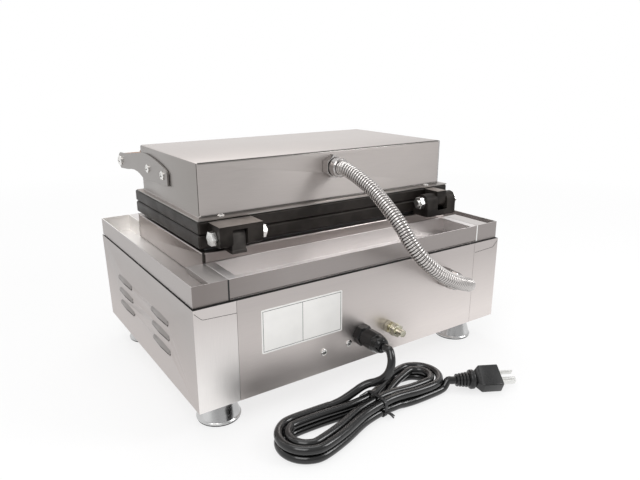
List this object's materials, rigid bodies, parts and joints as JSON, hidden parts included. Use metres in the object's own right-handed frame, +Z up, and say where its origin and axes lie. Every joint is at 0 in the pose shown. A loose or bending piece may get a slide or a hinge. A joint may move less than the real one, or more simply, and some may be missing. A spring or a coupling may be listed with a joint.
{
  "type": "corn dog maker",
  "caption": "Countertop corn dog press: hinged cast plates over a stainless cabinet with drip trays, control knobs, a ribbed metal hose and a tied mains lead.",
  "frame": {"origin": "on the surface the feet stand on, midway between the sides and between the handle bar's front and the hose's rear", "axes": "+Z up, +Y to the rear, where the hinges and the mains lead are, +X to the left as seen from behind"},
  "size_m": [0.4084, 0.429, 0.2497],
  "materials": {
    "stainless": "brushed",
    "cast_plate": "non-stick coated, matt",
    "cast_hinge": "as cast",
    "zinc": "zinc plated",
    "chrome": "polished",
    "brass": "bright",
    "black_plastic": "moulded",
    "cord_rubber": "smooth",
    "handle_wood": "sealed",
    "heater_steel": "dull",
    "lamp_red": "clear",
    "lamp_green": "clear",
    "cream_plastic": "moulded"
  },
  "bodies": {
    "base": {"base_clevis": "cast_hinge", "base_knuckle": "cast_hinge", "bonding_stud": "brass", "bottom_plate": "stainless", "control_panel": "stainless", "cord_gland": "black_plastic", "cord_hank": "cord_rubber", "cord_lead": "cord_rubber", "cord_tail": "cord_rubber", "cord_tie": "black_plastic", "foot_front_left": "chrome", "foot_front_right": "chrome", "foot_rear_left": "chrome", "foot_rear_right": "chrome", "heating_lamp": "lamp_red", "hinge_bolt_left": "zinc", "hinge_bolt_right": "zinc", "hinge_nut_left": "zinc", "hinge_nut_right": "zinc", "hose_connector_lower": "chrome", "lower_heater": "heater_steel", "lower_plate": "cast_plate", "metal_hose": "chrome", "pedestal": "stainless", "plate_spacer": "black_plastic", "plug_blade_left": "zinc", "plug_blade_right": "zinc", "plug_body": "cord_rubber", "plug_earth_pin": "zinc", "plug_relief": "cord_rubber", "power_lamp": "lamp_green", "rear_panel": "stainless", "side_panel_left": "stainless", "side_panel_right": "stainless", "switch_frame": "black_plastic", "terminal_block": "cream_plastic", "thermostat_body": "heater_steel", "timer_body": "heater_steel", "tray_deck": "stainless"},
    "lid": {"upper_plate": "cast_plate", "upper_heater": "heater_steel", "upper_housing": "stainless", "lid_clevis": "cast_hinge", "lid_knuckle": "cast_hinge", "handle_arm_left": "stainless", "handle_arm_right": "stainless", "handle_bar": "handle_wood", "hose_connector_upper": "chrome"},
    "temperature_dial": {"temperature_knob": "black_plastic"},
    "timer_dial": {"timer_knob": "black_plastic"},
    "rocker": {"power_rocker": "black_plastic"},
    "rear_tray": {"rear_drip_tray": "stainless"},
    "front_tray": {"front_drip_tray": "stainless"}
  },
  "joints": [
    {"name": "lid_hinge", "type": "hinge", "parent": "base", "child": "lid", "pos_m": [0, 0.08335, 0.1814], "axis": [-1, 0, 0], "range_deg": [0, 90], "deforming": ["metal_hose"]},
    {"name": "temperature_turn", "type": "hinge", "parent": "base", "child": "temperature_dial", "pos_m": [-0.043, -0.16005, 0.07777], "axis": [0, -0.995, -0.1], "range_deg": [0, 300]},
    {"name": "timer_turn", "type": "hinge", "parent": "base", "child": "timer_dial", "pos_m": [0.043, -0.16005, 0.07777], "axis": [0, -0.995, -0.1], "range_deg": [0, 300]},
    {"name": "rocker_tilt", "type": "hinge", "parent": "base", "child": "rocker", "pos_m": [0.148, -0.16045, 0.08175], "axis": [1, 0, 0], "range_deg": [0, 18]},
    {"name": "rear_tray_slide", "type": "slide", "parent": "base", "child": "rear_tray", "axis": [0, 1, 0], "range_m": [0, 0.038]},
    {"name": "front_tray_slide", "type": "slide", "parent": "base", "child": "front_tray", "axis": [0, -1, 0], "range_m": [0, 0.038]}
  ]
}
